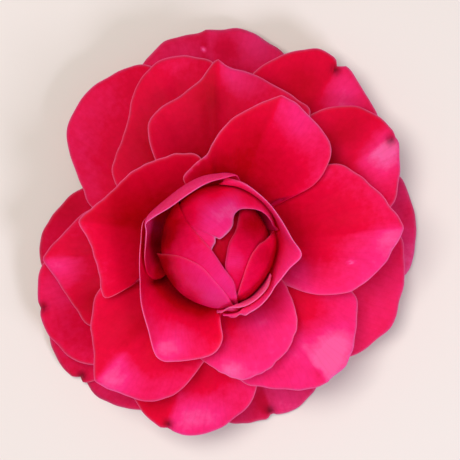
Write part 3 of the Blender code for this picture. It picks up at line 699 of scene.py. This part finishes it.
# Colours per ring: deep at the foot, partly the tissue's deeper red and partly painted shade; body; lit, a
# painted lit copy of the body; rim, the painted highlight along the margin, with edge its strength. The
# outer ring's duller colours are partly painted shade.
petalFinish = {
    "outer": {"deepAndShaded": "#a80616", "body": "#d40a3c", "lit": "#f22c72", "rim": "#ff78a8", "edge": 0.85},
    "middle": {"deepAndShaded": "#ac0414", "body": "#de063a", "lit": "#f82a76", "rim": "#ff78ac", "edge": 0.85},
    "inner": {"deepAndShaded": "#ae0212", "body": "#e0043a", "lit": "#fc2a7e", "rim": "#ff78ac", "edge": 0.85},
    "cup": {"deepAndShaded": "#ae0212", "body": "#e8043e", "lit": "#ff2c80", "rim": "#ff78b0", "edge": 0.85},
    "bud": {"deepAndShaded": "#a80010", "body": "#f00648", "lit": "#ff287e", "rim": "#ff80b4", "edge": 0.22},
}

# Patterns of the tissue, with widths in millimetres, and the colours of the painted shadow, the painted
# highlight and the dry nick.
petalGrain = {
    "cloud": 11.1,  # soft clouds of colour
    "fleck": 1.67,  # groups of cells with more or less pigment
    "cell": 0.714,  # the skin's cells, drawn about ten times too wide so that they show
    "cloudTone": 0.4,  # how far each pattern moves the tone
    "fleckTone": 0.5,
    "veins": ((9, 0.0), (18, 0.35), (36, 0.62)),  # lines over half a petal, and how far out they start
    "veinWander": 0.10,
    "veinDepth": 0.08,
    "highlightWidth": 0.2,  # how soon the painted highlight along the rim fades inwards
    # The ends of the colour ramp: a painted shadow and a painted highlight.
    "paintedShadow": "#700008",
    "paintedHighlight": "#ff60a0",
    "dryNick": "#3a0a10",
}


# Living petal tissue: satin skin over cells full of water and red pigment. The eye sees soft, faintly pink
# highlights, colour that deepens to the foot, fine veins, and light that soaks in a little. Painted into
# the colour as well: shade towards the foot, light towards the rim, light and shade in patches and beside
# creases, and a highlight along the margin.
def petalTissue(ring):
    finish = petalFinish[ring]
    material, tree, shader = newMaterial("camellia petal " + ring)
    # Tone carries the tissue's tone with painted light and shade, and Margin the painted highlight along
    # the rim.
    side, out, rim, toneAndShade, nick, marginHighlight = (
        node(tree, "ShaderNodeAttribute", {}, "Fac", attribute_name="petal" + label)
        for label in ("Side", "Out", "Rim", "ToneAndShade", "Nick", "Margin"))
    place = node(tree, "ShaderNodeTexCoord", {}, "Object")
    cloud = node(tree, "ShaderNodeTexNoise",
                 {"Vector": place, "Scale": patternScale(petalGrain["cloud"]), "Detail": 3.0})
    fleck = node(tree, "ShaderNodeTexNoise", {"Vector": place, "Scale": patternScale(petalGrain["fleck"]),
                                              "Detail": 3.0, "Roughness": 0.6})
    cell = node(tree, "ShaderNodeTexNoise",
                {"Vector": place, "Scale": patternScale(petalGrain["cell"]), "Detail": 2.0})

    # Veins fork twice on the way out, so each set of lines starts farther from the foot.
    wander = petalGrain["veinWander"]
    ray = node(tree, "ShaderNodeMath", {0: cloud, 1: wander, 2: -0.5 * wander}, operation="MULTIPLY_ADD")
    ray = node(tree, "ShaderNodeMath", {0: side, 1: ray}, operation="ADD")
    veins = 0.0
    for lines, start in petalGrain["veins"]:
        wave = node(tree, "ShaderNodeMath", {0: ray, 1: lines * math.pi}, operation="MULTIPLY")
        wave = node(tree, "ShaderNodeMath", {0: wave}, operation="SINE")
        wave = node(tree, "ShaderNodeMath", {0: wave}, operation="ABSOLUTE")
        line = node(tree, "ShaderNodeMath", {0: 1.0, 1: wave}, operation="SUBTRACT")
        line = node(tree, "ShaderNodeMath", {0: line, 1: 6.0}, operation="POWER")
        shown = node(tree, "ShaderNodeMapRange",
                     {"Value": out, "From Min": start, "From Max": start + 0.2})
        line = node(tree, "ShaderNodeMath", {0: line, 1: shown}, operation="MULTIPLY")
        veins = node(tree, "ShaderNodeMath", {0: veins, 1: line}, operation="MAXIMUM")

    # Level runs from the deep foot, which is partly painted shade, to the lit end, which is painted light,
    # with the tone (partly painted light and shade), the clouds and the flecks on top. The patterns' mean
    # comes off again, and a third of it is the place on the ramp. The ramp's darkest stop is a painted
    # shadow and its palest a painted highlight.
    level = node(tree, "ShaderNodeMapRange", {"Value": out, "From Min": 0.15, "From Max": 1.0},
                 interpolation_type="SMOOTHSTEP")
    level = node(tree, "ShaderNodeMath", {0: level, 1: toneAndShade}, operation="ADD")
    for pattern, share in ((cloud, petalGrain["cloudTone"]), (fleck, petalGrain["fleckTone"])):
        level = node(tree, "ShaderNodeMath", {0: pattern, 1: share, 2: level}, operation="MULTIPLY_ADD")
    rest = 1 - 0.5 * (petalGrain["cloudTone"] + petalGrain["fleckTone"])
    level = node(tree, "ShaderNodeMath", {0: level, 1: 1 / 3, 2: rest / 3}, operation="MULTIPLY_ADD")
    colour = node(tree, "ShaderNodeValToRGB", {"Fac": level})
    stops = {0.0: petalGrain["paintedShadow"], 0.33: finish["deepAndShaded"], 0.62: finish["body"], 0.86: finish["lit"],
             1.0: petalGrain["paintedHighlight"]}
    elements = colour.node.color_ramp.elements
    for stop in list(stops)[1:-1]:
        elements.new(stop)
    for element, text in zip(elements, stops.values()):
        element.color = hexColour(text)
    veined = node(tree, "ShaderNodeMath", {0: veins, 1: petalGrain["veinDepth"]}, operation="MULTIPLY")
    colour = node(tree, "ShaderNodeMix", {0: veined, 6: colour, 7: hexColour(finish["deepAndShaded"])}, 2,
                  data_type="RGBA")

    # The painted highlight along the margin, a pale line, fades inwards and is broken by the clouds.
    rimHighlight = node(tree, "ShaderNodeMath", {0: rim, 1: -1 / petalGrain["highlightWidth"]}, operation="MULTIPLY")
    rimHighlight = node(tree, "ShaderNodeMath", {0: rimHighlight}, operation="EXPONENT")
    rimHighlight = node(tree, "ShaderNodeMath", {0: rimHighlight, 1: marginHighlight}, operation="MULTIPLY")
    broken = node(tree, "ShaderNodeMath", {0: cloud, 1: finish["edge"], 2: 0.4 * finish["edge"]},
                  operation="MULTIPLY_ADD")
    rimHighlight = node(tree, "ShaderNodeMath", {0: rimHighlight, 1: broken}, operation="MULTIPLY")
    rimHighlight = node(tree, "ShaderNodeMath", {0: rimHighlight, 1: 0.9}, operation="MINIMUM")
    colour = node(tree, "ShaderNodeMix", {0: rimHighlight, 6: colour, 7: hexColour(finish["rim"])}, 2,
                  data_type="RGBA")
    dry = node(tree, "ShaderNodeMath", {0: nick, 1: 0.9}, operation="MULTIPLY")
    colour = node(tree, "ShaderNodeMix", {0: dry, 6: colour, 7: hexColour(petalGrain["dryNick"])}, 2,
                  data_type="RGBA")

    # Veins are sunk and the skin's cells stand up a little.
    relief = node(tree, "ShaderNodeMath", {0: cell, 1: 0.4}, operation="MULTIPLY")
    relief = node(tree, "ShaderNodeMath", {0: veins, 1: -0.3, 2: relief}, operation="MULTIPLY_ADD")
    bump = node(tree, "ShaderNodeBump", {"Strength": 0.25, "Distance": 0.06 * mm, "Height": relief})
    rough = node(tree, "ShaderNodeMapRange", {"Value": cell, "To Min": 0.40, "To Max": 0.58})
    fill(tree, shader, {
        "Base Color": colour, "Normal": bump, "Roughness": rough, "IOR": 1.42,
        "Subsurface Weight": 0.6, "Subsurface Radius": (1.0, 0.2, 0.35), "Subsurface Scale": 1.6 * mm,
        "Specular IOR Level": 0.22, "Specular Tint": hexColour("#ff6498")})
    return material


# Scales of the calyx under the petals: middle azimuth, half width, tip radius and tip height, and the
# height of their feet.
calyx = {
    "bract": {"foot": 4.6, "places": [(20, 42, 8.4, 5.6), (140, 42, 8.0, 5.6), (262, 42, 8.6, 5.7)]},
    "sepal": {"foot": 5.4, "places": [(-15, 40, 12.4, 7.6), (57, 40, 13.2, 7.8), (129, 40, 12.6, 7.7),
                                      (201, 40, 13.4, 7.9), (273, 40, 12.8, 7.8)]},
    "thickness": 0.6,
    "footHalfSpread": 30,
    "columns": 41,
    "rows": 25,
    "down": 2.38,  # width in millimetres of the tufts of down
    "green": "#5d7a2a",
    "yellow": "#93a556",
    "tip": "#7f7d3c",
    "dryEdge": "#6a4526",
    "downShine": "#d8dcae",
}


# A leathery scale with silky down: yellow-green at the foot, dry and brown along the edge. The eye sees
# a dull skin with a pale bloom on it at a slant.
def calyxSkin():
    material, tree, shader = newMaterial("camellia calyx scale")
    out = node(tree, "ShaderNodeAttribute", {}, "Fac", attribute_name="petalOut")
    rim = node(tree, "ShaderNodeAttribute", {}, "Fac", attribute_name="petalRim")
    place = node(tree, "ShaderNodeTexCoord", {}, "Object")
    cloud = node(tree, "ShaderNodeTexNoise",
                 {"Vector": place, "Scale": patternScale(calyx["down"]), "Detail": 4.0})
    green, yellow = hexColour(calyx["green"]), hexColour(calyx["yellow"])
    colour = node(tree, "ShaderNodeMix", {0: cloud, 6: green, 7: yellow}, 2, data_type="RGBA")
    faded = node(tree, "ShaderNodeMath", {0: out, 1: 0.5}, operation="MULTIPLY")
    colour = node(tree, "ShaderNodeMix", {0: faded, 6: colour, 7: hexColour(calyx["tip"])}, 2,
                  data_type="RGBA")
    dry = node(tree, "ShaderNodeMath", {0: rim, 1: -1.3}, operation="MULTIPLY")
    dry = node(tree, "ShaderNodeMath", {0: dry}, operation="EXPONENT")
    colour = node(tree, "ShaderNodeMix", {0: dry, 6: colour, 7: hexColour(calyx["dryEdge"])}, 2,
                  data_type="RGBA")
    bump = node(tree, "ShaderNodeBump", {"Strength": 0.5, "Distance": 0.3 * mm, "Height": cloud})
    fill(tree, shader, {"Base Color": colour, "Normal": bump, "Roughness": 0.62, "Sheen Weight": 0.25,
                        "Sheen Tint": hexColour(calyx["downShine"])})
    return material


# A scale's outline: full width up to half of its length, then rounded to a blunt tip.
def scaleOutline(azimuth, halfWidth, tip):
    share = [(-1, 0.50), (-0.94, 0.72), (-0.55, 0.93), (0, 1), (0.55, 0.93), (0.94, 0.72), (1, 0.50)]
    return [(azimuth + halfWidth * across, tip * out) for across, out in share]


def buildCalyx(pile):
    skin = calyxSkin()
    spread = calyx["footHalfSpread"]
    for group in ("bract", "sepal"):
        for number, (azimuth, halfWidth, tip, height) in enumerate(calyx[group]["places"], 1):
            scale = {"tip": height, "foot": (azimuth - spread, azimuth + spread),
                     "outline": scaleOutline(azimuth, halfWidth, tip)}
            grid = openGrid(scale, "scale", calyx[group]["foot"], calyx["columns"], calyx["rows"])
            grid = settle(grid, pile, calyx["thickness"])
            pile.add(grid, calyx["thickness"])
            petalPiece(f"{group}_{number}", grid, calyx["thickness"], skin, scale)
    print("calyx laid")


def buildOpenPetals(pile):
    tissue = {ring: petalTissue(ring) for ring in ("outer", "middle", "inner")}
    lowest = 0.5 * sheet["thickness"] + 0.02  # so that no petal goes through the floor
    for level, (name, petal) in enumerate(openPetals.items()):
        ring = name.split("_")[0]
        grid = openGrid(petal, ring, foot["lowest"] + foot["step"] * level, sheet["columns"], sheet["rows"])
        grid = settle(grid, pile, sheet["thickness"])
        grid[..., 2] = np.maximum(grid[..., 2], lowest)
        pile.add(grid, sheet["thickness"])
        petalPiece(name, grid, sheet["thickness"], tissue[ring], petal)
    print("open petals laid")


def buildClosedPetals(openPile):
    pile = Pile(sphereView, piling["sphereHalf"] / piling["sphereCell"])
    tissue = {ring: petalTissue(ring) for ring in ("bud", "cup")}
    for level, (name, petal) in enumerate(closedPetals.items()):
        ring = name.split("_")[0]
        grid = closedGrid(petal, level, sheet["columns"], sheet["rows"])
        for _ in range(piling["rounds"]):
            grid = settle(grid, openPile, sheet["thickness"])
            grid = settle(grid, pile, sheet["thickness"])
        pile.add(grid, sheet["thickness"])
        petalPiece(name, grid, sheet["thickness"], tissue[ring], petal)
    print("bud and cup closed")


# Heights and widths in millimetres.
bark = {
    "green": "#4c6428",
    "cork": "#8a7a44",
    "cutWood": "#c9cf9a",
    "petalRed": "#8c0620",
    "fleck": 1.43,
    "cutEdge": (0.25, 0.10),
    "redFrom": 8.5,
    "redTo": 12.5,
}


# Young bark: green with brown corky flecks, paler wet wood on the cut end, and red where the petals
# grow together round the top. The eye sees a dull, rough twig.
def stalkSkin():
    material, tree, shader = newMaterial("camellia stalk")
    place = node(tree, "ShaderNodeTexCoord", {}, "Object")
    height = node(tree, "ShaderNodeSeparateXYZ", {"Vector": place}, "Z")
    cloud = node(tree, "ShaderNodeTexNoise",
                 {"Vector": place, "Scale": patternScale(bark["fleck"]), "Detail": 4.0})
    green, cork = hexColour(bark["green"]), hexColour(bark["cork"])
    colour = node(tree, "ShaderNodeMix", {0: cloud, 6: green, 7: cork}, 2, data_type="RGBA")
    cut = node(tree, "ShaderNodeMapRange", {"Value": height, "From Min": bark["cutEdge"][0] * mm,
                                            "From Max": bark["cutEdge"][1] * mm})
    colour = node(tree, "ShaderNodeMix", {0: cut, 6: colour, 7: hexColour(bark["cutWood"])}, 2,
                  data_type="RGBA")
    joined = node(tree, "ShaderNodeMapRange", {"Value": height, "From Min": bark["redFrom"] * mm,
                                               "From Max": bark["redTo"] * mm})
    colour = node(tree, "ShaderNodeMix", {0: joined, 6: colour, 7: hexColour(bark["petalRed"])}, 2,
                  data_type="RGBA")
    bump = node(tree, "ShaderNodeBump", {"Strength": 0.5, "Distance": 0.2 * mm, "Height": cloud})
    fill(tree, shader, {"Base Color": colour, "Normal": bump, "Roughness": 0.6})
    return material


def dressStalk():
    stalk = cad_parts["stalk"]
    stalk.data.materials.clear()
    stalk.data.materials.append(stalkSkin())
    print("stalk finished")


# Metres, and watts for the lights.
studio = {
    "floor": "#e9e6e1",
    "floorReach": 3.0,
    "sky": "#f4f2f0",
    "skyStrength": 0.26,
    "aim": (0, 0, 0.02),
    "lights": {
        "key": {"place": (0.34, -0.36, 0.50), "size": 0.20, "power": 2.0, "colour": "#f4eeff"},
        "top": {"place": (-0.16, 0.10, 0.74), "size": 0.32, "power": 3.9, "colour": "#fff4ee"},
    },
    "cameraHeight": 0.600,
    "cameraOffset": (0.0006, 0.0001),
    "focusHeight": 0.010,
    "frameWidth": 0.115,
}


def areaLight(name, place, size, power, colour):
    light = bpy.data.lights.new(name, "AREA")
    light.size = size
    light.energy = power
    light.color = hexColour(colour)[:3]
    item = bpy.data.objects.new(name, light)
    item.location = place
    item.rotation_euler = (Vector(studio["aim"]) - Vector(place)).to_track_quat("-Z", "Y").to_euler()
    bpy.context.scene.collection.objects.link(item)


# A pale sheet of matte paper: no shine, only soft shadows.
def layFloor():
    paper, tree, shader = newMaterial("pale matte floor")
    fill(tree, shader, {"Base Color": hexColour(studio["floor"]), "Roughness": 0.9})
    reach = studio["floorReach"]
    corners = [(-reach, -reach, 0), (reach, -reach, 0), (reach, reach, 0), (-reach, reach, 0)]
    mesh = bpy.data.meshes.new("floor")
    mesh.from_pydata(corners, [], [(0, 1, 2, 3)])
    mesh.materials.append(paper)
    floor = bpy.data.objects.new("floor", mesh)
    bpy.context.scene.collection.objects.link(floor)


def buildStudio():
    scene = bpy.context.scene
    scene.view_settings.view_transform = "Standard"
    layFloor()
    world = bpy.data.worlds.new("studio")
    world.use_nodes = True
    fill(world.node_tree, world.node_tree.nodes["Background"],
         {"Color": hexColour(studio["sky"]), "Strength": studio["skyStrength"]})
    scene.world = world
    for name, light in studio["lights"].items():
        areaLight(name, **light)
    camera = bpy.data.cameras.new("camera")
    distance = studio["cameraHeight"] - studio["focusHeight"]
    camera.lens = camera.sensor_width * distance / studio["frameWidth"]
    item = bpy.data.objects.new("camera", camera)
    item.location = (*studio["cameraOffset"], studio["cameraHeight"])
    scene.collection.objects.link(item)
    scene.camera = item
    print("studio set")


buildStudio()
pile = Pile(planarView, piling["planHalf"] / piling["planCell"])
buildCalyx(pile)
buildOpenPetals(pile)
buildClosedPetals(pile)
dressStalk()
